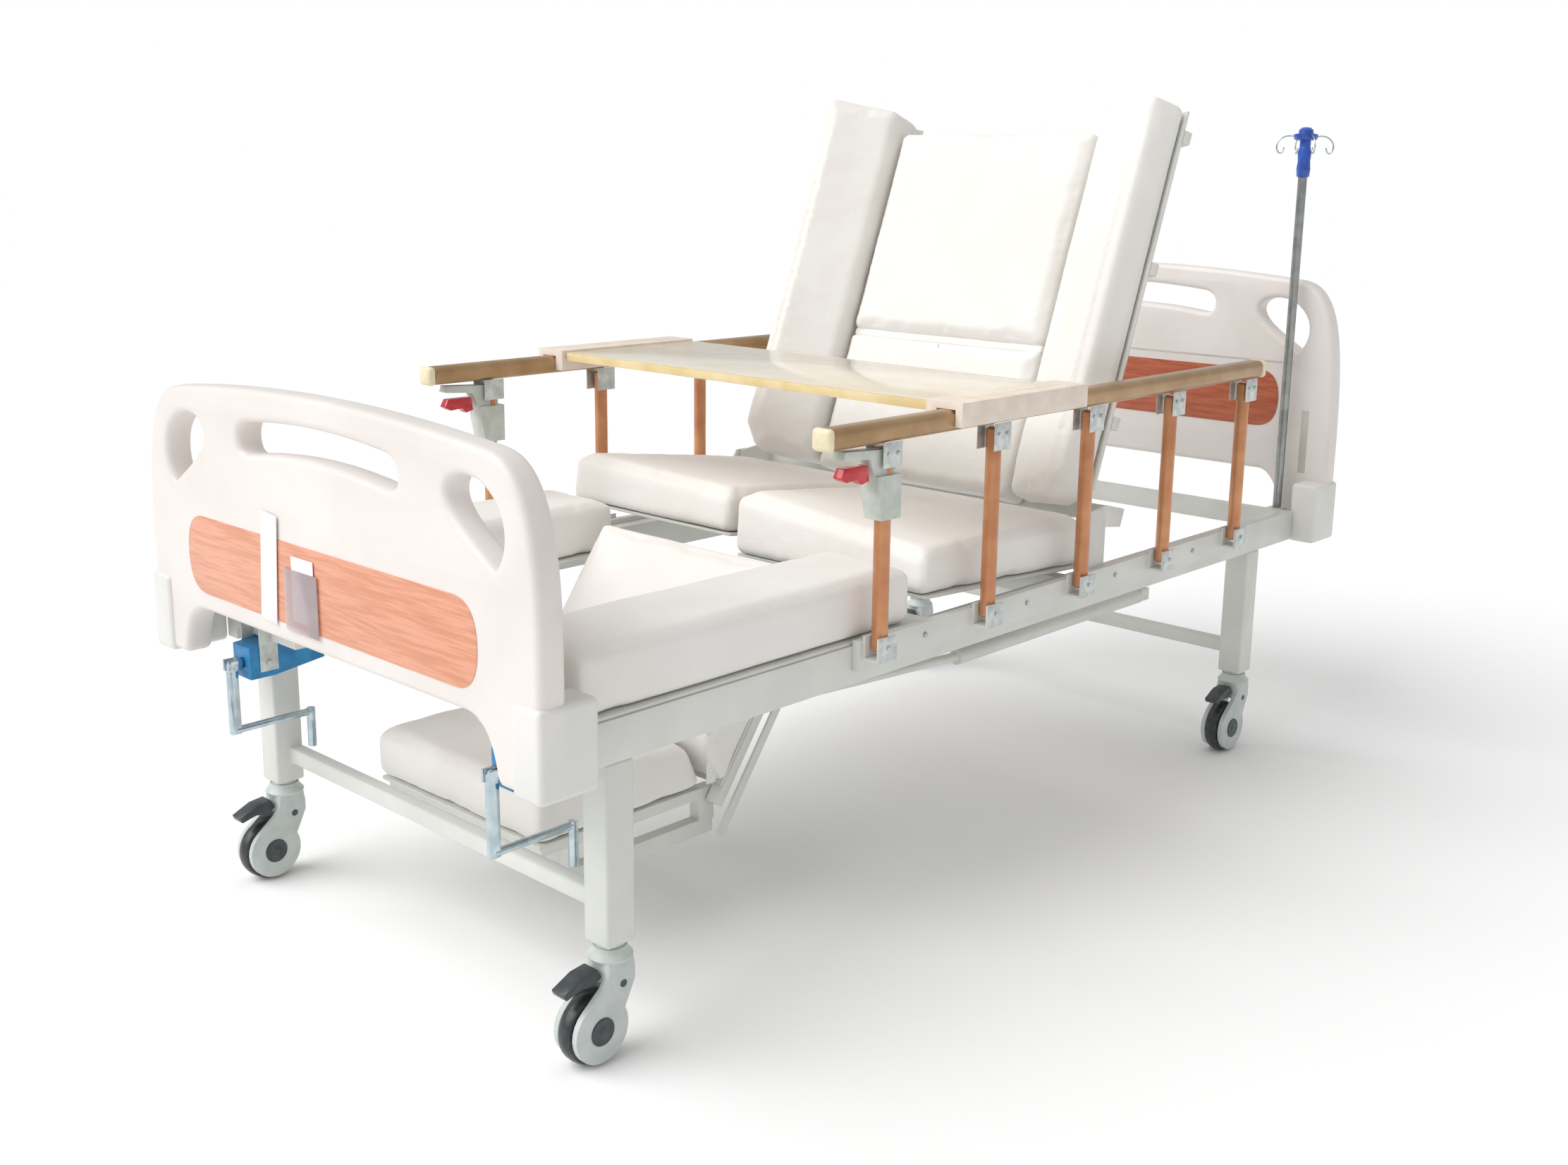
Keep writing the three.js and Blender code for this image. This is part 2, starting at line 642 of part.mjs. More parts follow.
// Screw and push tube of the backrest lift, along the left side under the frame.
function liftDrive() {
  const x = CRANK.x;
  const screw = bar([x, CRANK.y + 151, 412], [x, -20, 362], 8);
  const tube = bar([x, -44, 362], [x, 555, 362], 14, 16);
  const eye = block([x - 6, x + 6], [550, 590], [350, 374]);
  return join([screw, tube, eye]);
}

add(bed, "back_lift_drive", liftDrive(), powderCoat);

// ---- drip pole ----------------------------------------------------------------------------

function pole() {
  return bar([POLE.x, POLE.y, POLE.low], [POLE.x, POLE.y, POLE.high], POLE.r, 16);
}

// A bent wire hook that leaves the crown level and curls up at its tip.
function hook(angle) {
  const along = new THREE.Vector3(Math.cos(angle), Math.sin(angle), 0);
  const at = (out, up) => along.clone().multiplyScalar(out).add(
    new THREE.Vector3(POLE.x, POLE.y, POLE.hookZ + up));
  const path = new THREE.CatmullRomCurve3(
    [at(6, 14), at(30, 16), at(52, 8), at(58, -10), at(44, -20), at(34, -8)]);
  const ring = new THREE.Shape().absarc(0, 0, 2, 0, 2 * Math.PI);
  return solid(new THREE.ExtrudeGeometry(ring, {
    steps: 14, curveSegments: 3, bevelEnabled: false, extrudePath: path }));
}

function crown() {
  const { x, y, r, high } = POLE;
  const grip = bar([x, y, high - 6], [x, y, high + 54], r + 4, 16);
  const neck = bar([x, y, high + 50], [x, y, high + 78], 7);
  const cap = bar([x, y, high + 74], [x, y, high + 96], 13, 16);
  const bore = bar([x, y, high - 20], [x, y, high + 0.6], r + 0.6, 16);
  const hooks = [45, 135, 225, 315].map((degrees) => hook(rad(degrees)));
  return join([grip, neck, cap, ...hooks]).subtract(bore);
}

add(bed, "iv_pole", pole(), chromeSteel);
add(bed, "iv_crown", crown(), bluePlastic);

export default bed;
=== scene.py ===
# %% [markdown]
# # A manual nursing bed, dressed around its CAD frame
# The CAD model fixes where every tube, hinge and wheel is. This lesson gives each of them the
# surface of the real thing: powder-coated steel, moulded ABS boards, stuffed mattress sections,
# anodised side rails. Lengths are metres, and every place comes from the frame.

# %% Load the frame
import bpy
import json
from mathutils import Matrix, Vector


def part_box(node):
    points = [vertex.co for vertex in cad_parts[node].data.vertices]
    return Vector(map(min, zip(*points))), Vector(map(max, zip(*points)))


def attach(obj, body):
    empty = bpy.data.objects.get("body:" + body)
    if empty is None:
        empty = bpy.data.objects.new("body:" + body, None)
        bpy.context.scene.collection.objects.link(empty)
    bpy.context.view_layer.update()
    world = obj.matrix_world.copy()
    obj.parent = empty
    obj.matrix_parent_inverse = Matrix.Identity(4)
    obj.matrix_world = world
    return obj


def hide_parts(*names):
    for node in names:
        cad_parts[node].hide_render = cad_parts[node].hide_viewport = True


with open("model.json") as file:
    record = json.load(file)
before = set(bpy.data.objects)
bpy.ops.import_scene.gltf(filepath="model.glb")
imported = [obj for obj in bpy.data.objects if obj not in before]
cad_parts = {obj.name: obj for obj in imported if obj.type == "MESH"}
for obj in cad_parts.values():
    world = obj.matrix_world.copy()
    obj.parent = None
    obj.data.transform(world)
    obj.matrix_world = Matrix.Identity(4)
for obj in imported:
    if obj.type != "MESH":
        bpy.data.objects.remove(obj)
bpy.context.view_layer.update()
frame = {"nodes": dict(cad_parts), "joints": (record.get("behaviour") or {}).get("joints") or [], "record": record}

import json
import math

import bmesh
import bpy
import numpy as np
from mathutils import Matrix, Vector, noise

MM = 0.001
scene = bpy.context.scene
sides = {"left": 1, "right": -1}
joints = {joint["name"]: joint for joint in frame["joints"]}
body_of = {node: body for body, nodes in frame["record"]["behaviour"]["bodies"].items()
           for node in nodes}

# %% [markdown]
# ## Camera and light
# The bed is seen from its foot corner, from just above the mattress. A small vertical shift keeps
# the uprights almost parallel, as an architect's lens does. One broad key light comes over the
# foot end from the far side, so tops and foot faces are bright and the near side is in shade.
# The white room fills the shadows; it is seen at full white and lights at a little over half.

# %% Camera and lamps
ROOM_LIGHT, ROOM_SEEN = 0.56, 1.0
azimuth, pitch, roll = math.radians(43.19), math.radians(-12.6), math.radians(0.66)
camera = bpy.data.objects.new("camera", bpy.data.cameras.new("camera"))
camera.matrix_world = (Matrix.Translation((1.9916, -2.2456, 1.1964))
                       @ Matrix.Rotation(azimuth, 4, "Z")
                       @ Matrix.Rotation(math.pi / 2 + pitch, 4, "X")
                       @ Matrix.Rotation(roll, 4, "Z"))
camera.data.sensor_width = 36
camera.data.lens = 37.38
camera.data.shift_y = -0.0328
scene.collection.objects.link(camera)
scene.camera = camera
scene.view_settings.view_transform = "Standard"

key = bpy.data.objects.new("soft_key", bpy.data.lights.new("soft_key", "SUN"))
key.data.energy, key.data.angle = 2.25, math.radians(55)
key.rotation_euler = Vector((0.42, 0.72, -0.85)).to_track_quat("-Z", "Y").to_euler()
scene.collection.objects.link(key)
world = bpy.data.worlds.new("white_room")
scene.world = world
world.use_nodes = True
sky = world.node_tree
backdrop = sky.nodes["Background"]
seen = sky.nodes.new("ShaderNodeLightPath").outputs["Is Camera Ray"]
level = sky.nodes.new("ShaderNodeMapRange")
level.inputs["To Min"].default_value = ROOM_LIGHT
level.inputs["To Max"].default_value = ROOM_SEEN
sky.links.new(seen, level.inputs["Value"])
sky.links.new(level.outputs["Result"], backdrop.inputs["Strength"])
backdrop.inputs["Color"].default_value = (1, 1, 1, 1)

# %% [markdown]
# ## How a material is put together
# Real finishes are never one flat colour. Each one here mixes two near shades in soft patches,
# varies its roughness the same way, and carries the small relief that its making leaves: the
# orange peel of a powder coat, the grain of a mould, the threads of a cover.
# All patterns read Object coordinates, in metres, so a size in millimetres sets their scale.

# %% Colour, node and material helpers


def srgb(code):
    """Turns an sRGB hex colour into the linear colour that a shader expects."""
    parts = [int(code[i:i + 2], 16) / 255 for i in (1, 3, 5)]
    linear = [p / 12.92 if p <= 0.04045 else ((p + 0.055) / 1.055) ** 2.4 for p in parts]
    return (*linear, 1.0)


def add(tree, kind, inputs=None, **settings):
    """Adds a node, with its settings, and links or sets its inputs."""
    node = tree.nodes.new(kind)
    for name, value in settings.items():
        setattr(node, name, value)
    for name, value in (inputs or {}).items():
        if isinstance(value, bpy.types.NodeSocket):
            tree.links.new(value, node.inputs[name])
        else:
            node.inputs[name].default_value = value
    return node


def stretched(tree, scale):
    """Object coordinates, stretched by the given scale along X, Y and Z."""
    place = add(tree, "ShaderNodeTexCoord").outputs["Object"]
    return add(tree, "ShaderNodeMapping", {"Vector": place, "Scale": scale}).outputs["Vector"]


def grain(tree, size, detail=2.0, scale=(1, 1, 1)):
    """Noise whose lumps are about size metres across."""
    inputs = {"Vector": stretched(tree, scale), "Scale": 1 / size, "Detail": detail}
    return add(tree, "ShaderNodeTexNoise", inputs).outputs["Fac"]


def material(name, light, dark, patch, rough, relief=None, depth=0.0, mask=None, **shader):
    """Two shades in patches, roughness from rough[0] to rough[1], and relief of that depth."""
    made = bpy.data.materials.new(name)
    made.use_nodes = True
    tree = made.node_tree
    principled = tree.nodes["Principled BSDF"]
    spots = mask(tree) if mask else grain(tree, patch, 3.0)
    ramp = add(tree, "ShaderNodeValToRGB", {"Fac": spots})
    ramp.color_ramp.elements[0].position, ramp.color_ramp.elements[1].position = 0.36, 0.64
    ramp.color_ramp.elements[0].color, ramp.color_ramp.elements[1].color = srgb(dark), srgb(light)
    tree.links.new(ramp.outputs["Color"], principled.inputs["Base Color"])
    spread = add(tree, "ShaderNodeMapRange", {"Value": grain(tree, patch * 0.4, 4.0),
                                              "To Min": rough[0], "To Max": rough[1]})
    tree.links.new(spread.outputs["Result"], principled.inputs["Roughness"])
    if relief:
        bump = add(tree, "ShaderNodeBump", {"Height": relief(tree), "Distance": depth})
        tree.links.new(bump.outputs["Normal"], principled.inputs["Normal"])
    for socket, value in shader.items():
        principled.inputs[socket.replace("_", " ")].default_value = value
    return made


# %% [markdown]
# ## The finishes of this bed
# Powder coat is sprayed dry and baked: satin, with a faint orange peel of about 1.5 mm. The boards
# are blow-moulded ABS with a spark-eroded grain. The inserts are printed wood-look laminate, so
# the grain lines run along the board. The rails are extruded aluminium: drawn lines run along
# them under a bronze anodised skin. The mattress cover is a coated knit, matt, with fine threads.

# %% Relief patterns


def orange_peel(tree):
    return grain(tree, 1.5 * MM, 1.0)


def mould_grain(tree):
    return grain(tree, 0.9 * MM, 3.0)


def threads(tree):
    """A knit's rows, with threads drawn at 1.6 mm so that they show, over slack wrinkles."""
    rows = [add(tree, "ShaderNodeTexWave", {"Vector": stretched(tree, (1, 1, 1)),
                                            "Scale": 1 / (1.6 * MM * 6.28), "Distortion": 0.4},
                bands_direction=way).outputs["Fac"] for way in ("X", "DIAGONAL")]
    knit = add(tree, "ShaderNodeMath", {0: rows[0], 1: rows[1]}, operation="ADD")
    slack = grain(tree, 45 * MM, 4.0, (1, 0.45, 1.6))
    fine = add(tree, "ShaderNodeMath", {0: knit.outputs[0], 1: 0.035}, operation="MULTIPLY")
    return add(tree, "ShaderNodeMath", {0: slack, 1: fine.outputs[0]},
               operation="ADD").outputs[0]


def drawn_lines(tree):
    """Die lines along Y, as on an extruded tube."""
    return grain(tree, 0.8 * MM, 2.0, (1, 0.01, 1))


def wood_lines(tree):
    """Flat-sawn grain: long wavy lines along X, with a finer fibre over them."""
    place = stretched(tree, (0.5, 1, 5.0))
    bent = add(tree, "ShaderNodeTexNoise", {"Vector": place, "Scale": 4.0, "Detail": 3.0})
    rings = add(tree, "ShaderNodeMath", {0: bent.outputs["Fac"], 1: 46.0}, operation="MULTIPLY")
    lines = add(tree, "ShaderNodeMath", {0: rings.outputs[0]}, operation="SINE")
    soft = add(tree, "ShaderNodeMath", {0: lines.outputs[0], 1: 0.1}, operation="MULTIPLY")
    fibre = grain(tree, 2.2 * MM, 3.0, (0.04, 1, 1))
    return add(tree, "ShaderNodeMath", {0: fibre, 1: soft.outputs[0]}, operation="ADD").outputs[0]


# %% Materials
powder_coat = material("powder_coated_steel", "#DFDFDA", "#D6D8D2", 0.11, (0.34, 0.48),
                       orange_peel, 0.00012, Coat_Weight=0.15, Coat_Roughness=0.3)
board_abs = material("moulded_abs", "#EAE4E0", "#E4DDD8", 0.16, (0.34, 0.46), mould_grain,
                     0.00006, Specular_IOR_Level=0.45, Subsurface_Weight=0.04,
                     Subsurface_Radius=(0.012, 0.009, 0.007))
block_abs = material("moulded_abs_clamp", "#E6E5E1", "#DEDEDA", 0.12, (0.38, 0.5), mould_grain,
                     0.00008)
mattress_cover = material("coated_knit_cover", "#F1EFEB", "#EBE8E3", 0.2, (0.6, 0.78), threads,
                          0.0016, Sheen_Weight=0.25, Sheen_Roughness=0.5,
                          Specular_IOR_Level=0.3)
seam_thread = material("polyester_thread", "#DDD9D4", "#CFCAC4", 0.01, (0.6, 0.8))
foot_wood = material("wood_look_laminate_peach", "#E5A284", "#D58E6C", 0.05, (0.3, 0.42),
                     None, 0, wood_lines, Coat_Weight=0.25, Coat_Roughness=0.25)
head_wood = material("wood_look_laminate_cherry", "#C0694A", "#AC5436", 0.05, (0.3, 0.42),
                     None, 0, wood_lines, Coat_Weight=0.25, Coat_Roughness=0.25)
bronze = material("bronze_anodised_aluminium", "#B7966F", "#A5835C", 0.08, (0.3, 0.42),
                  drawn_lines, 0.00015, Metallic=0.55, Coat_Weight=0.2)
copper_tan = material("copper_tan_anodised_aluminium", "#CF9468", "#BC7C52", 0.06, (0.28, 0.42),
                      drawn_lines, 0.0001, Metallic=0.45, Coat_Weight=0.3)
cream_cap = material("cream_polypropylene", "#F2E8C9", "#E8DBB6", 0.02, (0.35, 0.5), mould_grain,
                     0.00005)
bracket_grey = material("grey_die_casting", "#D5D9D7", "#B9C0BE", 0.015, (0.22, 0.42),
                        orange_peel, 0.0001, Metallic=0.45)
latch_paint = material("painted_latch_casting", "#CFD5CD", "#BEC6BD", 0.03, (0.3, 0.45),
                       orange_peel, 0.0001)
trigger_red = material("red_gloss_abs", "#D0222E", "#AE1520", 0.02, (0.18, 0.3), mould_grain,
                       0.00003, Coat_Weight=0.4)
crank_blue = material("blue_moulded_nylon", "#2E8CC4", "#1C74A8", 0.03, (0.3, 0.45), mould_grain,
                      0.0001)
pole_blue = material("blue_gloss_abs", "#2F5DC0", "#2148A0", 0.02, (0.2, 0.35), mould_grain,
                     0.00004, Coat_Weight=0.3)
chrome = material("chromed_steel", "#C9D6DC", "#AFC0C8", 0.02, (0.08, 0.2), orange_peel, 0.00003,
                  Metallic=1.0)
pole_steel = material("satin_stainless_tube", "#A7ABA8", "#8E9390", 0.03, (0.25, 0.4),
                      drawn_lines, 0.00005, Metallic=0.9)
caster_nylon = material("grey_moulded_nylon", "#CDD2CF", "#BFC8C4", 0.03, (0.32, 0.46),
                        mould_grain, 0.00006)
strip_steel = material("oiled_dark_steel_strip", "#6A7775", "#55615F", 0.03, (0.3, 0.5),
                       orange_peel, 0.0001, Metallic=0.6)
# A darker shade of the board's ABS, used only to paint the shade inside the headboard's recesses and groove.
shadow_abs = material("abs_painted_recess_shade", "#CFC8C2", "#C3BBB4", 0.05, (0.5, 0.6), mould_grain,
                      0.00006)
webbing = material("white_webbing", "#F0F0EC", "#DDDED8", 0.004, (0.6, 0.8), threads, 0.0004)
tyre_rubber = material("dark_polyurethane_tyre", "#3A3E41", "#2B2F31", 0.012, (0.22, 0.42),
                       mould_grain, 0.0001)
dark_plastic = material("dark_moulded_nylon", "#3F474A", "#2E3538", 0.02, (0.28, 0.5),
                        mould_grain, 0.0001, Coat_Weight=0.2)
tray_top = material("tray_laminate", "#EFE6D3", "#E7DBC3", 0.09, (0.16, 0.28), mould_grain,
                    0.00003, Coat_Weight=0.5, Coat_Roughness=0.1)
tray_edge = material("tray_edge_band", "#F0DDAE", "#E6CE97", 0.05, (0.3, 0.42), mould_grain,
                     0.00005)
tray_saddle = material("tray_saddle_abs", "#F0E3D6", "#E6D7C8", 0.04, (0.35, 0.48), mould_grain,
                       0.00005)
card_white = material("white_card", "#F6F4F8", "#ECEAF2", 0.05, (0.5, 0.7))
pocket_clear = material("clear_pvc", "#F3E9EA", "#EEE0E2", 0.05, (0.08, 0.15),
                        Transmission_Weight=0.75, IOR=1.45)
print(len(bpy.data.materials), "materials")

# %% [markdown]
# ## Making pieces
# Four helpers serve most of the bed. `finished_copy` takes a CAD node whose shape is right, welds
# its loose triangles, rounds its edges as a press brake or a mould would, and smooths it. `box`
# makes small plates and `turned` spins a profile. `give` hands a piece its material and its body,
# and hides the CAD nodes that it replaces.

# %% Piece helpers


def give(piece, finish, body, replaces=()):
    piece.data.materials.clear()
    piece.data.materials.append(finish)
    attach(piece, body)
    if replaces:
        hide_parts(*replaces)
    return piece


def new_piece(name, work):
    mesh = bpy.data.meshes.new(name)
    work.to_mesh(mesh)
    work.free()
    piece = bpy.data.objects.new(name, mesh)
    scene.collection.objects.link(piece)
    return piece


def welded(node):
    """A bmesh copy of a CAD node with its shared corners joined and its flat faces whole."""
    work = bmesh.new()
    work.from_mesh(frame["nodes"][node].data)
    bmesh.ops.remove_doubles(work, verts=work.verts, dist=0.02 * MM)
    bmesh.ops.dissolve_limit(work, angle_limit=math.radians(1.5), verts=work.verts,
                             edges=work.edges)
    return work


def rounded(piece, width, segments=2, angle=28):
    """Rounds sharp edges, shades the rest smooth, and makes the result the piece's own mesh."""
    bevel = piece.modifiers.new("edge", "BEVEL")
    bevel.width, bevel.segments = width, segments
    bevel.limit_method, bevel.angle_limit = "ANGLE", math.radians(angle)
    bevel.harden_normals = False
    bevel.use_clamp_overlap = True
    baked = bpy.data.meshes.new_from_object(
        piece.evaluated_get(bpy.context.evaluated_depsgraph_get()))
    piece.modifiers.clear()
    piece.data = baked
    baked.name = piece.name
    baked.shade_smooth()
    baked.set_sharp_from_angle(angle=math.radians(42))
    return piece


def finished_copy(node, finish, width=1.2 * MM, segments=2):
    piece = rounded(new_piece(node + "_finished", welded(node)), width, segments)
    return give(piece, finish, body_of[node], (node,))


def box(name, low, high, finish, body, width=1.5 * MM, turn=Matrix()):
    work = bmesh.new()
    bmesh.ops.create_cube(work, size=1)
    size = Vector(high) - Vector(low)
    middle = (Vector(high) + Vector(low)) / 2
    bmesh.ops.transform(work, verts=work.verts,
                        matrix=Matrix.Translation(middle) @ Matrix.Diagonal((*size, 1)))
    piece = rounded(new_piece(name, work), width, 2 if width < 4 * MM else 5)
    piece.data.transform(turn)
    return give(piece, finish, body)


def turned(name, profile, start, axis, finish, body, steps=32, replaces=()):
    """A turned piece: [radius, distance along] points spun about an axis through start."""
    work = bmesh.new()
    rings = []
    for step in range(steps):
        angle = 2 * math.pi * step / steps
        rings.append([work.verts.new((r * math.cos(angle), r * math.sin(angle), along))
                      for r, along in profile])
    for first, second in zip(rings, rings[1:] + rings[:1]):
        for i in range(len(profile) - 1):
            work.faces.new((first[i], second[i], second[i + 1], first[i + 1]))
    bmesh.ops.remove_doubles(work, verts=work.verts, dist=0.001 * MM)
    bmesh.ops.holes_fill(work, edges=work.edges)
    bmesh.ops.recalc_face_normals(work, faces=work.faces)
    turn = Vector((0, 0, 1)).rotation_difference(Vector(axis)).to_matrix().to_4x4()
    bmesh.ops.transform(work, verts=work.verts, matrix=Matrix.Translation(start) @ turn)
    piece = new_piece(name, work)
    piece.data.shade_smooth()
    piece.data.set_sharp_from_angle(angle=math.radians(38))
    return give(piece, finish, body, replaces)


# %% [markdown]
# ## Welded steel
# The frames are square tube, welded and powder-coated. A tube's corner has a radius of 3 mm or
# so, which is what catches the light along its length.

# %% Frames, legs and linkage
for node, edge in {"main_frame": 2.5, "foot_legs": 4, "head_legs": 4, "back_frame": 1.5,
                   "calf_frame": 2, "footrest_frame": 2, "footrest_link": 1.2,
                   "rail_base_left": 1, "rail_base_right": 1, "back_lift_drive": 1}.items():
    finished_copy(node, powder_coat, edge * MM)

# %% [markdown]
# ## Moulded boards
# A board is a hollow moulding with generous round edges. Its outline is a 2-D curve: Blender
# fills the curve, holes and all, gives it thickness, and rounds every edge with one bevel, which
# is exactly how the mould was drawn. Clamp blocks hold it to the frame's corners.

# %% Board outline


def curved(points, steps=14):
    """Points along a Bezier arc; the last point is left to the next arc."""
    out = []
    for step in range(steps):
        t = step / steps
        work = [Vector(p) for p in points]
        while len(work) > 1:
            work = [a.lerp(b, t) for a, b in zip(work, work[1:])]
        out.append(work[0])
    return out


def mirrored(half):
    """A closed outline from its half at X above 0, listed from the middle below to above."""
    return half + [Vector((-p.x, p.y)) for p in reversed(half) if p.x > 1e-6]


def board_outline(rise, arch):
    w = 495
    half = [Vector((0, arch)), Vector((150, arch))]
    half += curved([(335, arch), (372, arch), (392, 490), (402, 440)])
    half += curved([(402, 440), (406, 428), (418, 428)], 5)
    half += curved([(w - 12, 428), (w, 428), (w, 440)], 5)
    half += curved([(w, 640), (w - 2, 740 + rise), (478, 850 + rise), (396, 859 + rise)], 18)
    half += curved([(396, 859 + rise), (200, 879 + rise), (0, 879 + rise)])
    return mirrored(half)


def grip_slot(rise):
    arcs = [[(178, 778), (206, 776), (204, 802)], [(204, 802), (202, 822), (176, 826)],
            [(176, 826), (0, 846), (-176, 826)], [(-176, 826), (-202, 822), (-204, 802)],
            [(-204, 802), (-206, 776), (-178, 778)], [(-178, 778), (0, 802), (178, 778)]]
    return [Vector((p.x, p.y + rise)) for arc in arcs for p in curved(arc, 8)]


def hand_hole(side, rise):
    arcs = [[(408, 709), (436, 735), (440, 790), (382, 816)],
            [(382, 816), (340, 828), (306, 812), (312, 788)],
            [(312, 788), (320, 760), (372, 735), (408, 709)]]
    points = [Vector((side * p.x, p.y + rise)) for arc in arcs for p in curved(arc, 10)]
    return points if side > 0 else points[::-1]


def slab(name, outlines, y_middle, half_thick, edge):
    """Fills outlines in the X-Z plane, holes turning the other way, and rounds their edges."""
    data = bpy.data.curves.new(name, "CURVE")
    data.dimensions, data.fill_mode = "2D", "BOTH"
    data.extrude, data.bevel_depth = half_thick - edge, edge
    data.bevel_resolution, data.offset = 3, -edge
    for outline in outlines:
        spline = data.splines.new("POLY")
        spline.points.add(len(outline) - 1)
        for point, place in zip(spline.points, outline):
            point.co = (place.x * MM, place.y * MM, 0, 1)
        spline.use_cyclic_u = True
    drawn = bpy.data.objects.new(name + "_outline", data)
    scene.collection.objects.link(drawn)
    mesh = bpy.data.meshes.new_from_object(
        drawn.evaluated_get(bpy.context.evaluated_depsgraph_get()))
    bpy.data.objects.remove(drawn)
    work = bmesh.new()
    work.from_mesh(mesh)
    bmesh.ops.remove_doubles(work, verts=work.verts, dist=0.01 * MM)
    bmesh.ops.recalc_face_normals(work, faces=work.faces)
    stand = Matrix.Translation((0, y_middle, 0)) @ Matrix.Rotation(math.pi / 2, 4, "X")
    bmesh.ops.transform(work, verts=work.verts, matrix=stand)
    piece = new_piece(name, work)
    piece.data.shade_smooth()
    piece.data.set_sharp_from_angle(angle=math.radians(50))
    return piece


def stadium(half_wide, low, high, straight):
    """The insert's outline: straight top and bottom, and rounded ends."""
    middle = (low + high) / 2
    half = [Vector((0, low))] + curved([(straight, low), (half_wide, low), (half_wide, middle)], 10)
    half += curved([(half_wide, middle), (half_wide, high), (straight, high)], 10)
    half += [Vector((straight, high)), Vector((0, high))]
    return mirrored(half)


# %% Boards, inserts and clamp blocks
BOARD_MIDDLE = 1057.5 * MM
BOARD_HALF_THICK = 22.5 * MM
boards = {"footboard": (-1, 0, 512, foot_wood), "headboard": (1, 115, 562, head_wood)}
for node, (towards, rise, arch, wood) in boards.items():
    middle = towards * BOARD_MIDDLE
    outlines = [board_outline(rise, arch), grip_slot(rise)[::-1], hand_hole(1, rise)[::-1],
                hand_hole(-1, rise)[::-1]]
    shell = slab(node + "_shell", outlines, middle, BOARD_HALF_THICK, 11 * MM)
    give(shell, board_abs, "frame", (node,))
    for face_name, step in {"outer": 1, "inner": -1}.items():
        surface = middle + step * towards * (BOARD_HALF_THICK + 0.1 * MM)
        insert = slab(f"{node}_insert_{face_name}",
                      [stadium(373, 542 + rise, 665 + rise, 322)], surface, 0.9 * MM, 0.6 * MM)
        give(insert, wood, "frame")
    for name, side in sides.items():
        inner, outer = sorted((side * 441 * MM, side * 500 * MM))
        near, far = sorted((towards * 988 * MM, towards * 1085 * MM))
        box(f"{node}_clamp_{name}", (inner, near, 425 * MM), (outer, far, 550 * MM), block_abs,
            "frame", 9 * MM)
    print(node, "with", len(shell.data.polygons), "faces")
# Thin plates of darker ABS paint the shade of the headboard's side recesses and of the groove above the insert. No
# recess or groove is cut into the shell.
for name, side in sides.items():
    inner, outer = sorted((side * 430 * MM, side * 446 * MM))
    box(f"headboard_recess_shade_{name}", (inner, 1034.2 * MM, 566 * MM), (outer, 1035.6 * MM, 700 * MM),
        shadow_abs, "frame", 0.4 * MM)
box("headboard_groove_shade", (-400 * MM, 1034.5 * MM, 797 * MM), (400 * MM, 1035.6 * MM, 801 * MM),
    shadow_abs, "frame", 0.4 * MM)

# %% [markdown]
# ## Card pocket
# A clear pocket and a paper tag hang on the footboard for the patient's card. Both are blank.

# %% Card pocket and tag
tag_face = -1081.5 * MM
lean = Matrix.Translation((-128 * MM, 0, 600 * MM)) @ Matrix.Rotation(math.radians(5), 4, "Y")
box("blank_paper_tag", (-22 * MM, tag_face - 2.0 * MM, -62 * MM),
    (22 * MM, tag_face - 1.0 * MM, 102 * MM), card_white, "frame", 0.3 * MM, lean)
box("blank_card", (-64 * MM, tag_face - 1.6 * MM, 552 * MM), (-6 * MM, tag_face - 0.8 * MM,
    648 * MM), card_white, "frame", 0.2 * MM)
box("card_pocket", (-84 * MM, tag_face - 2.8 * MM, 536 * MM), (4 * MM, tag_face - 2.0 * MM,
    628 * MM), pocket_clear, "frame", 0.3 * MM)

# %% [markdown]
# ## Mattress sections
# Each section is a foam block in a zipped cover. The block's edges are first rounded, then the
# skin is remeshed into even squares and blown up a little with cloth pressure, so that the faces
# crown. How far a point may rise is capped, sideways it moves 2.5 mm at most, and the underside
# stays almost flat, because it lies on a steel deck.

# %% Padding
CLOTH_FRAMES = 20
SIDEWAYS_LIMIT = 2.5 * MM
UNDERSIDE_LIMIT = 1 * MM
ROOM_TO_SWELL = 1.6 * MM
WRINKLE_HEIGHT = 1.1 * MM


def even_skin(node, edge, shrink, voxel):
    """The CAD block with round edges, shrunk to leave room to swell, in even squares."""
    work = welded(node)
    bmesh.ops.triangulate(work, faces=[f for f in work.faces if len(f.verts) > 4])
    piece = new_piece(node + "_cushion", work)
    bevel = piece.modifiers.new("edge", "BEVEL")
    bevel.width, bevel.segments, bevel.limit_method = edge, 4, "ANGLE"
    bevel.angle_limit = math.radians(35)
    squeeze = piece.modifiers.new("room", "DISPLACE")
    squeeze.strength, squeeze.mid_level = -shrink, 0
    remesh = piece.modifiers.new("skin", "REMESH")
    remesh.mode, remesh.voxel_size = "VOXEL", voxel
    baked = bpy.data.meshes.new_from_object(
        piece.evaluated_get(bpy.context.evaluated_depsgraph_get()))
    piece.modifiers.clear()
    piece.data = baked
    return piece


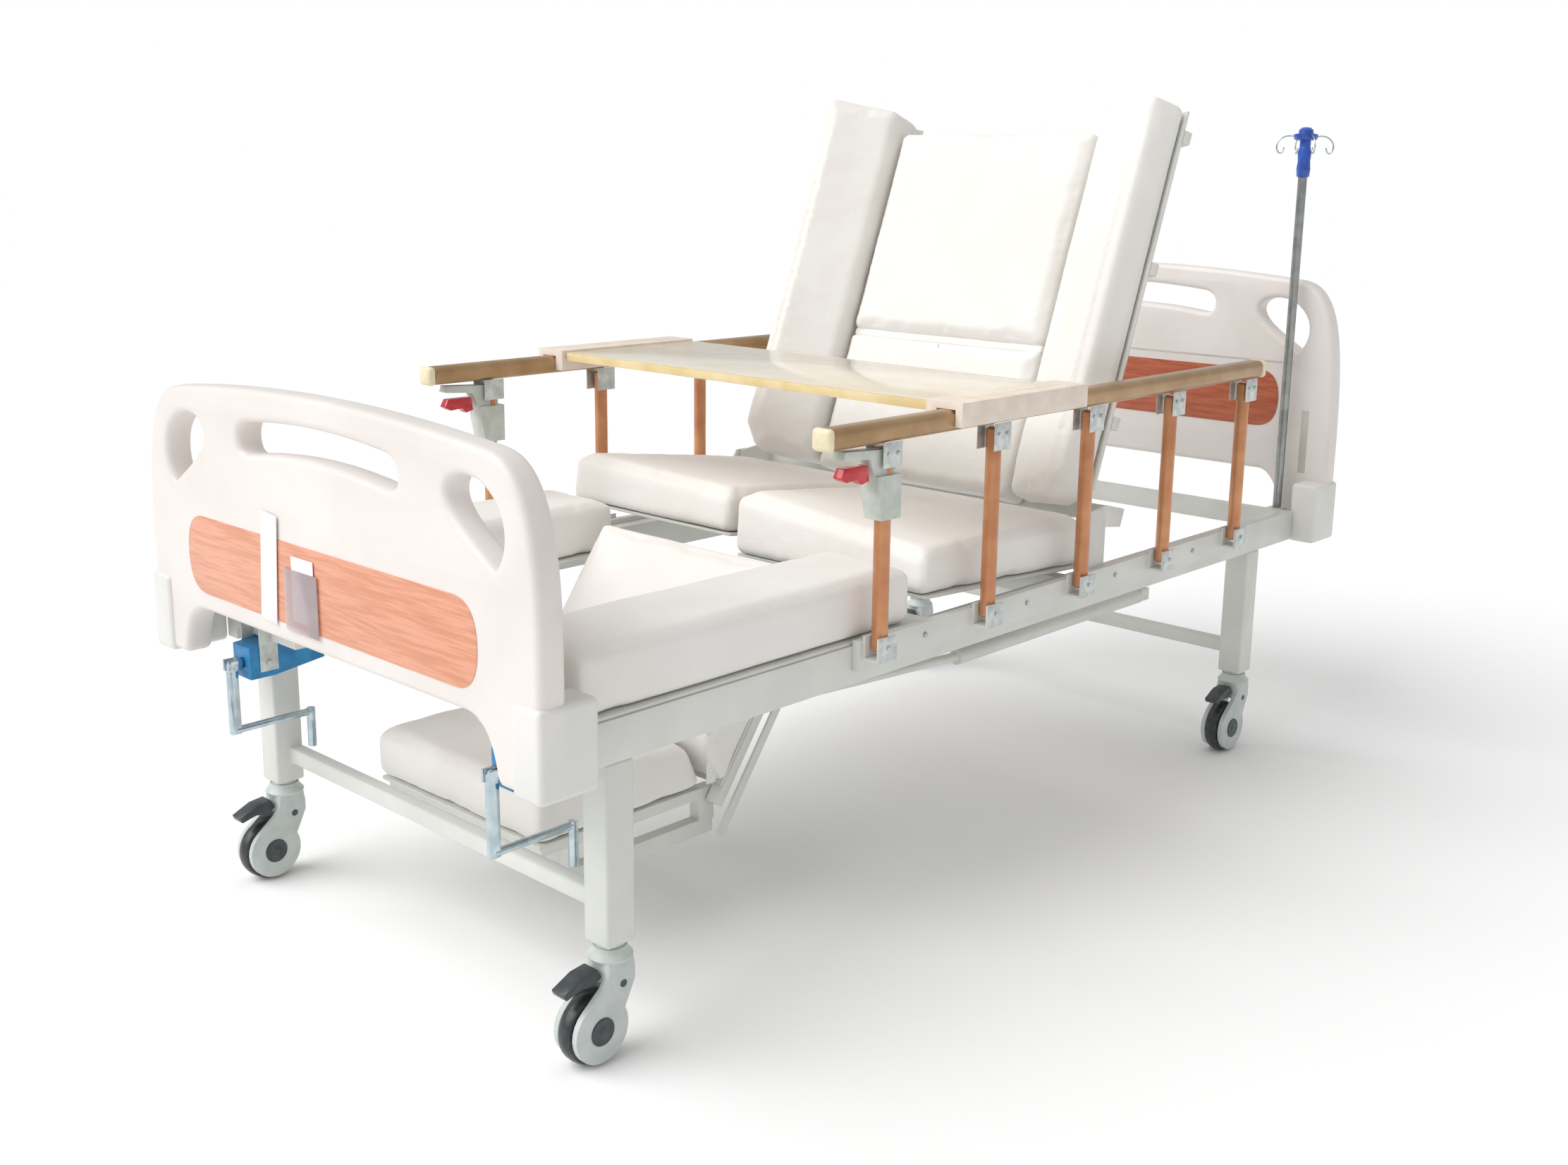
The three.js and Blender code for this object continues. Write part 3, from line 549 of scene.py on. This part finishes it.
def swell(piece, cap, base):
    """Blows the skin up with cloth pressure; base is the way the underside faces."""
    count = len(piece.data.vertices)
    rest = np.empty(count * 3)
    piece.data.vertices.foreach_get("co", rest)
    rest = rest.reshape(-1, 3)
    cloth = piece.modifiers.new("Cloth", "CLOTH")
    cloth.settings.use_pressure = True
    cloth.settings.uniform_pressure_force = 4
    cloth.settings.effector_weights.gravity = 0
    cloth.settings.quality = 4
    cloth.point_cache.frame_start, cloth.point_cache.frame_end = 1, CLOTH_FRAMES
    for step in range(1, CLOTH_FRAMES + 1):
        scene.frame_set(step)
    baked = bpy.data.meshes.new_from_object(
        piece.evaluated_get(bpy.context.evaluated_depsgraph_get()))
    piece.modifiers.clear()
    blown = np.empty(count * 3)
    baked.vertices.foreach_get("co", blown)
    scene.frame_set(1)
    move = blown.reshape(-1, 3) - rest
    down = np.array(base)
    along = (move @ down)[:, None]
    across = move - along * down
    length = np.linalg.norm(across, axis=1, keepdims=True)
    across *= np.minimum(1, SIDEWAYS_LIMIT / np.maximum(length, 1e-9))
    along = np.clip(along, -cap, UNDERSIDE_LIMIT)
    piece.data.vertices.foreach_set("co", (rest + across + along * down).ravel())
    print(piece.name, "crowned by up to", round(float(-along.min()) / MM), "mm")


def settle(piece, seed, height):
    """One subdivision, then long shallow wrinkles of the cover over the foam."""
    finer = piece.modifiers.new("finer", "SUBSURF")
    finer.levels = finer.render_levels = 1
    baked = bpy.data.meshes.new_from_object(
        piece.evaluated_get(bpy.context.evaluated_depsgraph_get()))
    piece.modifiers.clear()
    piece.data = baked
    count = len(baked.vertices)
    places, normals = np.empty(count * 3), np.empty(count * 3)
    baked.vertices.foreach_get("co", places)
    baked.vertices.foreach_get("normal", normals)
    places, normals = places.reshape(-1, 3), normals.reshape(-1, 3)
    shift = Vector((seed * 3.1, seed * 1.7, seed * 0.9))
    lift = np.array([noise.noise(Vector((x * 9, y * 5, z * 9)) + shift)
                     + 0.35 * noise.noise(Vector((x * 30, y * 16, z * 34)) - shift)
                     for x, y, z in places])
    baked.vertices.foreach_set("co", (places + normals * (height * lift)[:, None]).ravel())
    baked.update()
    baked.shade_smooth()


backrest_turn = math.radians(69.5)
calf_turn = math.radians(54.6)
back_base = (0, math.sin(backrest_turn), -math.cos(backrest_turn))
calf_base = (0, math.sin(calf_turn), -math.cos(calf_turn))
# Each pad has the way its underside faces, its edge radius and highest crown in mm, and its fill.
pads = {
    "back_pad": (back_base, 13, 9, 0.8),
    "lumbar_pad": (back_base, 12, 8, 0.8),
    "calf_pad": (calf_base, 14, 8, 0.7),
    "foot_pad": ((0, 0, -1), 15, 9, 0.7),
    "seat_pad_left": ((0, 0, -1), 15, 9, 0.7),
    "seat_pad_right": ((0, 0, -1), 15, 9, 0.7),
    "leg_strip_pad_left": ((0, 0, -1), 15, 8, 0.75),
    "leg_strip_pad_right": ((0, 0, -1), 15, 8, 0.75),
    "wing_pad_left": (back_base, 16, 8, 0.85),
    "wing_pad_right": (back_base, 16, 8, 0.85),
}
for number, (node, (base, edge, cap, fill)) in enumerate(pads.items()):
    cushion = even_skin(node, edge * MM, ROOM_TO_SWELL, (7.5) * MM)
    swell(cushion, cap * MM, base)
    settle(cushion, number, WRINKLE_HEIGHT)
    give(cushion, mattress_cover, body_of[node], (node,))

# %% [markdown]
# ## Joining webs, a seam and the calf strap
# Neighbouring sections of one cover are joined by a web of the same knit, which closes the gap.
# The lumbar section has one seam down its middle. A dark steel strip crosses the frame ahead of
# the seat. A flat webbing strap keeps the calf section's cover tight to the footrest.

# %% Webs, seam and strap
pivot = Vector(joints["backrest_raise"]["pos_m"])
lying = Matrix.Translation(pivot) @ Matrix.Rotation(backrest_turn, 4, "X")
box("back_web", (-234 * MM, 294 * MM, -72 * MM), (234 * MM, 312 * MM, -11 * MM), mattress_cover,
    "backrest", 6 * MM, lying)
seam = [(0, 0), (1.1, 0), (1.1, 276), (0, 276)]
turned("lumbar_seam", [(r * MM, a * MM) for r, a in seam], lying @ Vector((0, 14 * MM, 1.5 * MM)),
       lying.to_3x3() @ Vector((0, 1, 0)), seam_thread, "backrest", 8)
box("slotted_strip", (-226 * MM, -300 * MM, 496 * MM), (226 * MM, -270 * MM, 499 * MM),
    strip_steel, "frame", 0.6 * MM)
box("calf_strap", (226.5 * MM, -540 * MM, 232 * MM), (227.6 * MM, -520 * MM, 330 * MM), webbing,
    "footrest", 0.3 * MM)

# %% [markdown]
# ## Steel decks
# A section's foam lies on a sheet-steel deck. The decks of the wings, the seat halves and the
# leg strips show only at their edges and from below.

# %% Decks
wing_tilt = {"left": 25, "right": 34}
seat_tilt = {"left": 3, "right": 7}
for name, side in sides.items():
    hinge = Matrix.Translation((side * 243 * MM, 0, -84 * MM))
    swing = Matrix.Rotation(-side * math.radians(wing_tilt[name]), 4, "Y")
    wing = lying @ hinge @ swing
    inner, outer = sorted((side * 6 * MM, side * 204 * MM))
    box(f"wing_deck_{name}", (inner, 52 * MM, -3 * MM), (outer, 766 * MM, 2.6 * MM), powder_coat,
        f"wing_{name}", 1 * MM, wing)
    for height in (180, 470, 720):
        box(f"wing_rib_{name}_{height}", (inner, (height - 12) * MM, -20 * MM),
            (outer, (height + 12) * MM, -3.2 * MM), powder_coat, f"wing_{name}", 2 * MM, wing)
    inner, outer = sorted((side * 8 * MM, side * 432 * MM))
    tip = Matrix.Translation(pivot) @ Matrix.Rotation(-math.radians(seat_tilt[name]), 4, "X")
    box(f"seat_deck_{name}", (inner, -466 * MM, -87 * MM), (outer, -12 * MM, -81.5 * MM),
        powder_coat, f"seat_{name}", 1 * MM, tip)
    inner, outer = sorted((side * 264 * MM, side * 446 * MM))
    box(f"leg_strip_deck_{name}", (inner, -955 * MM, 490.4 * MM), (outer, -302 * MM, 495.6 * MM),
        powder_coat, "frame", 1 * MM)

# %% [markdown]
# ## Repeating hardware with Geometry Nodes
# Screws come in rows. One node tree lays a line of points, puts a domed head on each, realises
# the instances and sets their material; its length, count and head size are named inputs.

# %% A row of screw heads


def screw_tree():
    tree = bpy.data.node_groups.new("screw_row", "GeometryNodeTree")
    tree.interface.new_socket("Geometry", in_out="OUTPUT", socket_type="NodeSocketGeometry")
    sockets = {"Length": "NodeSocketFloat", "Count": "NodeSocketInt",
               "Head radius": "NodeSocketFloat", "Head height": "NodeSocketFloat",
               "Finish": "NodeSocketMaterial"}
    for name, kind in sockets.items():
        tree.interface.new_socket(name, in_out="INPUT", socket_type=kind)
    given = add(tree, "NodeGroupInput").outputs
    end = add(tree, "ShaderNodeCombineXYZ", {"X": given["Length"]})
    line = add(tree, "GeometryNodeMeshLine", {"Count": given["Count"],
               "Offset": end.outputs["Vector"]}, mode="END_POINTS")
    collar = add(tree, "GeometryNodeMeshCylinder", {"Vertices": 16,
                 "Radius": given["Head radius"], "Depth": given["Head height"]})
    dome = add(tree, "GeometryNodeMeshUVSphere", {"Segments": 14, "Rings": 8,
               "Radius": given["Head radius"]})
    low = add(tree, "ShaderNodeCombineXYZ", {"Z": given["Head height"]})
    cap = add(tree, "GeometryNodeTransform", {"Geometry": dome.outputs["Mesh"],
              "Scale": (0.82, 0.82, 0.4), "Translation": low.outputs["Vector"]})
    head = add(tree, "GeometryNodeJoinGeometry")
    tree.links.new(collar.outputs["Mesh"], head.inputs[0])
    tree.links.new(cap.outputs["Geometry"], head.inputs[0])
    spread = add(tree, "GeometryNodeInstanceOnPoints", {"Points": line.outputs["Mesh"],
                 "Instance": head.outputs[0]})
    real = add(tree, "GeometryNodeRealizeInstances", {"Geometry": spread.outputs["Instances"]})
    painted = add(tree, "GeometryNodeSetMaterial", {"Geometry": real.outputs["Geometry"],
                  "Material": given["Finish"]})
    add(tree, "NodeGroupOutput", {"Geometry": painted.outputs["Geometry"]})
    return tree


screws = screw_tree()


def screw_row(name, start, end, facing, count, body, radius=5 * MM, height=2.4 * MM,
              finish=bracket_grey):
    """Screw heads from start to end, whose domes point along facing."""
    holder = bpy.data.objects.new(name, bpy.data.meshes.new(name))
    scene.collection.objects.link(holder)
    along = Vector(end) - Vector(start)
    modifier = holder.modifiers.new("screws", "NODES")
    modifier.node_group = screws
    ids = {item.name: item.identifier for item in screws.interface.items_tree
           if item.in_out == "INPUT"}
    for socket, value in {"Length": along.length, "Count": count, "Head radius": radius,
                          "Head height": height, "Finish": finish}.items():
        modifier[ids[socket]] = value
    mesh = bpy.data.meshes.new_from_object(
        holder.evaluated_get(bpy.context.evaluated_depsgraph_get()))
    holder.modifiers.clear()
    holder.data = mesh
    x = along.normalized() if along.length > 0 else Vector(facing).orthogonal().normalized()
    z = Vector(facing).normalized()
    y = z.cross(x)
    mesh.transform(Matrix.Translation(start) @ Matrix((x, y, z)).transposed().to_4x4())
    mesh.shade_smooth()
    mesh.set_sharp_from_angle(angle=math.radians(40))
    return give(holder, finish, body)


# %% [markdown]
# ## Side rails
# A side rail is a parallelogram: five posts pivot between a base rail on the bed and a handrail.
# The posts are anodised tube with rounded ends, each held by two grey cheeks and a pin. The
# handrail is capped at both ends, and its first post carries the latch and the red trigger.

# %% Side rails
post_y = [joints["side_rail_fold_left"]["pos_m"][1]]
post_y += [joints[f"rail_post_fold_left_{i}"]["pos_m"][1] for i in range(2, 6)]
for name, side in sides.items():
    low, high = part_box(f"handrail_{name}")
    x = (low.x + high.x) / 2
    grip = box(f"handrail_grip_{name}", (x - 18 * MM, low.y + 0.2 * MM, 805 * MM),
               (x + 18 * MM, high.y - 0.2 * MM, 838 * MM), bronze, f"handrail_{name}", 11 * MM)
    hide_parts(f"handrail_{name}")
    for i, y in enumerate(post_y):
        node = f"rail_post_{name}_{i + 1}"
        foot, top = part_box(node)
        length = top.z - foot.z
        profile = [(0, 0), (9, 0), (12, 2.4), (12.6, 6), (12.6, length / MM - 6),
                   (12, length / MM - 2.4), (9, length / MM), (0, length / MM)]
        turned(node + "_tube", [(r * MM, a * MM) for r, a in profile], (x, y, foot.z), (0, 0, 1),
               copper_tan, node, 32, (node,))
        top_low = 762 * MM if i else 768 * MM
        for way in (-1, 1):
            edge = sorted((x + way * 16.2 * MM, x + way * 17.6 * MM))
            box(f"upper_cheek_{name}_{i + 1}_{'near' if way == side else 'far'}",
                (edge[0], y - 22 * MM, top_low), (edge[1], y + 22 * MM, 806 * MM), bracket_grey,
                f"handrail_{name}", 1.2 * MM)
            box(f"lower_cheek_{name}_{i + 1}_{'near' if way == side else 'far'}",
                (edge[0], y - 21 * MM, 470 * MM), (edge[1], y + 21 * MM, 509 * MM), bracket_grey,
                "frame", 1.2 * MM)
        out = x + side * 17.6 * MM
        screw_row(f"upper_pins_{name}_{i + 1}", (out, y - 11 * MM, 789 * MM),
                  (out, y + 11 * MM, 789 * MM), (side, 0, 0), 2, f"handrail_{name}", 3.6 * MM)
        screw_row(f"lower_pin_{name}_{i + 1}", (out, y, 492 * MM), (out, y, 492 * MM),
                  (side, 0, 0), 1, "frame", 4.2 * MM)
    for end, y, way in (("foot", low.y, -1), ("head", high.y, 1)):
        near, far = sorted((y, y + way * 3 * MM))
        box(f"handrail_cap_{name}_{end}", (x - 18.6 * MM, near - 6 * MM, 804.4 * MM),
            (x + 18.6 * MM, far + 6 * MM, 838.6 * MM), cream_cap, f"handrail_{name}", 11.4 * MM)
    finished_copy(f"rail_latch_{name}", latch_paint, 2 * MM, 3)
    finished_copy(f"release_trigger_{name}", trigger_red, 1.6 * MM, 3)
    screw_row(f"base_rail_screws_{name}", (side * 465 * MM, post_y[0] + 0.13, 480 * MM),
              (side * 465 * MM, post_y[-1] - 0.13, 480 * MM), (side, 0, 0), 4, "frame")

# %% [markdown]
# ## Castors
# Each castor is a nylon hood with two cheeks around a polyurethane tyre, under a shoulder and a
# collared neck. Each cheek has a dark hub cap and a rivet, and a brake pedal hangs in front. The
# wheel is turned from its profile, with a shallow groove beside the tread.

# %% Castors
HUB_CAP_FACE = 24.0 * MM
tread = [(6, -12.5), (34, -12.5), (36, -13), (44, -13), (49, -11.5), (51.4, -7), (52, 0),
         (51.4, 7), (49, 11.5), (44, 13), (36, 13), (34, 12.5), (6, 12.5), (6, -12.5)]
for corner in ("foot_left", "foot_right", "head_left", "head_right"):
    hub = Vector(joints[f"wheel_spin_{corner}"]["pos_m"])
    finished_copy(f"caster_hood_{corner}", caster_nylon, 3 * MM, 3)
    turned(f"caster_tyre_{corner}", [(r * MM, a * MM) for r, a in tread], hub, (1, 0, 0),
           tyre_rubber, f"wheel_{corner}", 64, (f"caster_wheel_{corner}",))
    finished_copy(f"brake_pedal_{corner}", dark_plastic, 2 * MM, 3)
    swivel = Vector(joints[f"caster_swivel_{corner}"]["pos_m"])
    ring = [(18, 0), (20.6, 0), (21, 1), (21, 4), (20, 5), (18, 5), (18, 0)]
    turned(f"caster_collar_{corner}", [(r * MM, a * MM) for r, a in ring],
           swivel + Vector((0, 0, 11.6 * MM)), (0, 0, 1), bracket_grey, f"caster_{corner}", 40)
    neck = [(0, 0), (31, 0), (32, 3), (27, 9), (24, 14), (23.6, 17), (0, 17)]
    turned(f"caster_neck_{corner}", [(r * MM, a * MM) for r, a in neck],
           swivel + Vector((0, 0, -5 * MM)), (0, 0, 1), caster_nylon, f"caster_{corner}", 40)
    box(f"caster_shoulder_{corner}", swivel + Vector((-24.6 * MM, -25 * MM, -40 * MM)),
        swivel + Vector((24.6 * MM, 24.5 * MM, -1 * MM)), caster_nylon, f"caster_{corner}", 7 * MM)
    for way in (-1, 1):
        cap = [(0, 0), (20, 0), (20, 1.2), (18.5, 2.4), (15, 1.6), (5, 1.8), (4, 2.6), (0, 2.6)]
        tag = "left" if way > 0 else "right"
        turned(f"hub_cap_{corner}_{tag}", [(r * MM, a * MM) for r, a in cap],
               hub + Vector((way * HUB_CAP_FACE, 0, 0)), (way, 0, 0), dark_plastic,
               f"caster_{corner}")
        turned(f"hood_rivet_{corner}_{tag}", [(r * MM, a * MM) for r, a in
               [(0, 0), (5.6, 0), (5.6, 0.6), (4, 0.9), (0, 0.5)]],
               hub + Vector((way * HUB_CAP_FACE, 38 * MM, 58 * MM)), (way, 0, 0), dark_plastic,
               f"caster_{corner}")

# %% [markdown]
# ## Tray
# The tray is a laminated board with a pale edge band. A moulded saddle at each end drops over
# the handrail.

# %% Tray
finished_copy("overbed_tray", tray_saddle, 2.5 * MM, 3)
box("tray_surface", (-440 * MM, -262 * MM, 845.2 * MM), (440 * MM, 57 * MM, 846.4 * MM), tray_top,
    "tray", 0.5 * MM)
for name, side in sides.items():
    inner, outer = sorted((side * 478 * MM, side * 484 * MM))
    box(f"tray_saddle_groove_{name}", (inner, -236 * MM, 849.2 * MM), (outer, 30 * MM, 850.2 * MM),
        tray_edge, "tray", 0.4 * MM)
for tag, y in (("foot", -267.2), ("head", 62.2)):
    box(f"tray_edge_{tag}", (-440 * MM, (y - 1) * MM, 831 * MM), (440 * MM, (y + 1) * MM,
        846 * MM), tray_edge, "tray", 0.8 * MM)

# %% [markdown]
# ## Cranks, lift drive and drip pole
# The cranks are bright-plated bar and rod, hinged so that they hang under the board when they
# are not in use. The drip pole is stainless tube with a moulded crown.

# %% Cranks and pole
for name in sides:
    finished_copy(f"crank_housing_{name}", crank_blue, 3 * MM, 3)
    finished_copy(f"crank_shaft_{name}", chrome, 1 * MM)
    shaft = Vector(joints[f"crank_turn_{name}"]["pos_m"])
    for way in (-1, 1):
        edge = sorted((shaft.x + way * 26.5 * MM, shaft.x + way * 29.5 * MM))
        tag = "near" if way > 0 else "far"
        box(f"crank_ear_{name}_{tag}", (edge[0], -1006 * MM, shaft.z - 14 * MM),
            (edge[1], -974 * MM, shaft.z + 64 * MM), bracket_grey, "frame", 1.4 * MM)
        screw_row(f"crank_ear_pin_{name}_{tag}", (edge[0 if way < 0 else 1], -990 * MM, shaft.z),
                  (edge[0 if way < 0 else 1], -990 * MM, shaft.z), (way, 0, 0), 1, "frame",
                  6 * MM, 3 * MM)
    finished_copy(f"crank_arm_{name}", chrome, 1.4 * MM)
low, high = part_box("iv_crown")
centre = (low + high) / 2
reach = (high.x - low.x) / 2 * 1.41 / MM
body = [(0, 0), (10, 0), (13, 3), (14, 16), (12.4, 30), (14, 46), (11, 54), (11, 66), (22, 68),
        (24, 72), (24, 78), (15, 80), (14, 86), (9, 90), (0, 91)]
tall = (high.z - low.z) / body[-1][1]
turned("drip_crown_hub", [(r * MM, a * tall) for r, a in body], (centre.x, centre.y, low.z),
       (0, 0, 1), pole_blue, "drip_crown", 40, ("iv_crown",))
for quarter in range(4):
    angle = math.radians(45 + 90 * quarter)
    path = [(8, 72), (reach * 0.55, 76), (reach * 0.8, 72), (reach * 0.97, 62),
            (reach * 0.98, 50), (reach * 0.86, 42), (reach * 0.74, 47), (reach * 0.72, 54)]
    data = bpy.data.curves.new("hook", "CURVE")
    data.dimensions, data.bevel_depth, data.bevel_resolution = "3D", 1.5 * MM, 3
    data.use_fill_caps = True
    spline = data.splines.new("NURBS")
    spline.points.add(len(path) - 1)
    spline.use_endpoint_u, spline.order_u = True, 3
    for point, (out, up) in zip(spline.points, path):
        point.co = (centre.x + out * MM * math.cos(angle), centre.y + out * MM * math.sin(angle),
                    low.z + up * tall, 1)
    drawn = bpy.data.objects.new("hook", data)
    scene.collection.objects.link(drawn)
    mesh = bpy.data.meshes.new_from_object(
        drawn.evaluated_get(bpy.context.evaluated_depsgraph_get()))
    bpy.data.objects.remove(drawn)
    hook = bpy.data.objects.new(f"drip_hook_{quarter + 1}", mesh)
    scene.collection.objects.link(hook)
    mesh.shade_smooth()
    give(hook, chrome, "drip_crown")
foot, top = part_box("iv_pole")
middle = (foot + top) / 2
turned("drip_pole_tube", [(0, 0), (9 * MM, 0), (9 * MM, top.z - foot.z), (0, top.z - foot.z)],
       (middle.x, middle.y, foot.z), (0, 0, 1), pole_steel, "drip_pole", 32,
       ("iv_pole",))

# %% [markdown]
# ## Floor
# A plain pale floor closes the scene.

# %% Floor
work = bmesh.new()
bmesh.ops.create_grid(work, x_segments=1, y_segments=1, size=14)
floor = new_piece("floor", work)
floor.data.materials.append(material("pale_floor", "#FFFFFF", "#FCFCFC", 2.0, (0.8, 0.9)))
